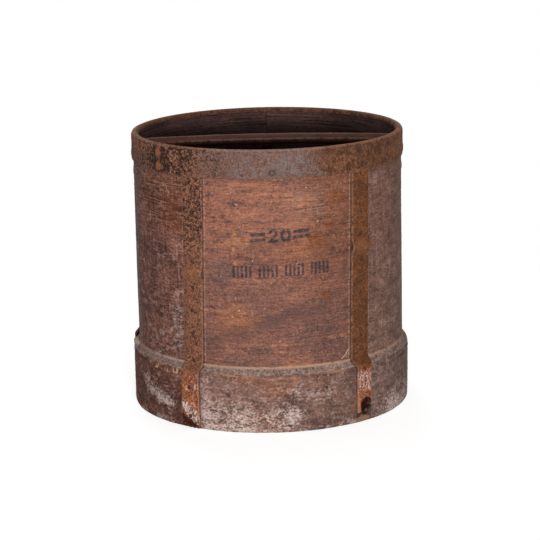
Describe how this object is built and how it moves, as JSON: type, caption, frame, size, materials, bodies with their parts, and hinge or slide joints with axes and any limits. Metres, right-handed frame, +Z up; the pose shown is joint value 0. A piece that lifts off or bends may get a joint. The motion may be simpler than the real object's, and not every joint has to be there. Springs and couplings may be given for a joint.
{
  "type": "grain measure",
  "caption": "Round bentwood dry measure with a foot hoop, an iron rim band, nailed iron straps and a crossbar under the rim, for measuring grain by volume.",
  "frame": {"origin": "where the tub's axis meets the surface that it stands on", "axes": "+Z up along the tub's axis, -Y to the front, +X along the crossbar to the right"},
  "size_m": [0.3182, 0.3201, 0.3133],
  "materials": {
    "bent_wood": "worn reddish brown wood, oiled by handling",
    "hoop_wood": "dry grey-brown wood with a pale powdery bloom",
    "base_wood": "dark dry wood",
    "rim_iron": "rusted sheet iron, worn grey in places",
    "strap_iron": "orange-brown rusted strip iron",
    "bar_iron": "dark rusted bar iron",
    "nail_iron": "dark rusted nails"
  },
  "bodies": {
    "root": {"back_base_plank": "base_wood", "base_nail_1": "nail_iron", "base_nail_2": "nail_iron", "base_nail_3": "nail_iron", "base_nail_4": "nail_iron", "centre_rod": "bar_iron", "crossbar": "bar_iron", "crossbar_rivet_left_lower": "rim_iron", "crossbar_rivet_left_upper": "rim_iron", "crossbar_rivet_right_lower": "rim_iron", "crossbar_rivet_right_upper": "rim_iron", "foot_hoop": "hoop_wood", "front_base_plank": "base_wood", "hoop_nail_1": "nail_iron", "hoop_nail_2": "nail_iron", "hoop_nail_3": "nail_iron", "hoop_nail_4": "nail_iron", "middle_base_plank": "base_wood", "nail_back_1": "nail_iron", "nail_back_2": "nail_iron", "nail_back_3": "nail_iron", "nail_back_4": "nail_iron", "nail_back_foot": "nail_iron", "nail_back_left_1": "nail_iron", "nail_back_left_2": "nail_iron", "nail_back_left_3": "nail_iron", "nail_back_left_4": "nail_iron", "nail_back_left_foot": "nail_iron", "nail_back_right_1": "nail_iron", "nail_back_right_2": "nail_iron", "nail_back_right_3": "nail_iron", "nail_back_right_4": "nail_iron", "nail_back_right_foot": "nail_iron", "nail_front_left_1": "nail_iron", "nail_front_left_2": "nail_iron", "nail_front_left_3": "nail_iron", "nail_front_left_4": "nail_iron", "nail_front_left_foot": "nail_iron", "nail_front_right_1": "nail_iron", "nail_front_right_2": "nail_iron", "nail_front_right_3": "nail_iron", "nail_front_right_4": "nail_iron", "nail_front_right_foot": "nail_iron", "rim_band": "rim_iron", "rim_nail_1": "nail_iron", "rim_nail_2": "nail_iron", "rim_nail_3": "nail_iron", "rim_nail_4": "nail_iron", "rim_rivet_lower": "rim_iron", "rim_rivet_upper": "rim_iron", "rod_foot_plate": "bar_iron", "rod_nut": "nail_iron", "rod_washer": "nail_iron", "side_wall": "bent_wood", "strap_back": "strap_iron", "strap_back_left": "strap_iron", "strap_back_right": "strap_iron", "strap_front_left": "strap_iron", "strap_front_right": "strap_iron"}
  },
  "joints": []
}
